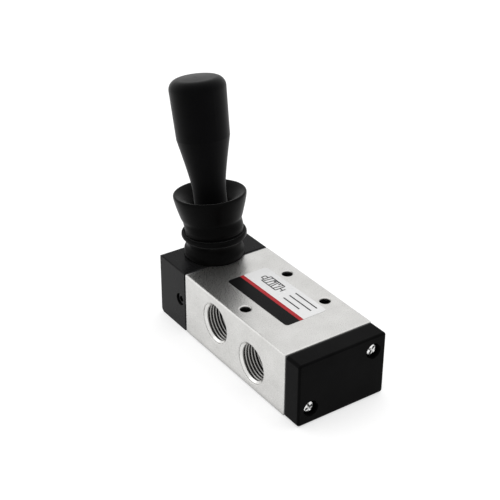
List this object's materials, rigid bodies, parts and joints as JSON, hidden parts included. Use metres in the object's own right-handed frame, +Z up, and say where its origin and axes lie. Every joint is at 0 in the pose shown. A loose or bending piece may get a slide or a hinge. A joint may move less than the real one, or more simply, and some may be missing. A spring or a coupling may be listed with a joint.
{
  "type": "hand lever air valve",
  "caption": "Five-port two-position spool valve with threaded ports in a block body, switched by a detented hand lever with a rubber boot.",
  "frame": {"origin": "middle of the valve body's underside", "axes": "+X along the valve towards the end cap, the lever housing at -X; +Y towards the face with the supply and exhaust ports; +Z up, out of the face the lever stands on"},
  "size_m": [0.108, 0.04, 0.1006],
  "materials": {
    "satin_aluminium": "fine satin, clear anodised",
    "machined_aluminium": "turned bright",
    "black_anodised_metal": "satin black",
    "black_moulded_plastic": "satin black, moulded",
    "black_knob_plastic": "satin black, moulded",
    "boot_rubber": "matt black, moulded",
    "nitrile_rubber": "matt black",
    "zinc_plated_steel": "bright zinc plate",
    "turned_steel": "turned and ground",
    "blackened_steel": "black oxide",
    "white_ptfe": "smooth",
    "brass": "knurled and turned"
  },
  "bodies": {
    "valve": {"valve_body": "satin_aluminium", "lever_housing": "black_anodised_metal", "end_cap": "black_moulded_plastic", "cap_screws": "zinc_plated_steel", "housing_screws": "zinc_plated_steel", "housing_gasket": "nitrile_rubber", "cap_gasket": "nitrile_rubber", "end_seals": "nitrile_rubber", "seal_spacers": "machined_aluminium", "spool_bumper": "nitrile_rubber", "detent_ball": "turned_steel", "detent_spring": "turned_steel", "detent_plug": "blackened_steel", "pivot_pin": "turned_steel", "boot": "boot_rubber"},
    "lever": {"lever_shaft": "turned_steel", "knob_insert": "brass", "knob": "black_knob_plastic"},
    "spool": {"spool": "machined_aluminium", "spool_seals": "nitrile_rubber", "wear_rings": "white_ptfe", "detent_rod": "turned_steel"}
  },
  "joints": [
    {"name": "lever_swing", "type": "hinge", "parent": "valve", "child": "lever", "pos_m": [-0.04228, 0, 0.0315], "axis": [0, 1, 0], "range_deg": [0, 21], "deforming": ["boot"]},
    {"name": "spool_slide", "type": "slide", "parent": "valve", "child": "spool", "axis": [1, 0, 0], "range_m": [-0.00668, 0]}
  ],
  "couplings": [
    {"joint": "spool_slide", "follows": "lever_swing", "m_per_rad": -0.018198}
  ]
}
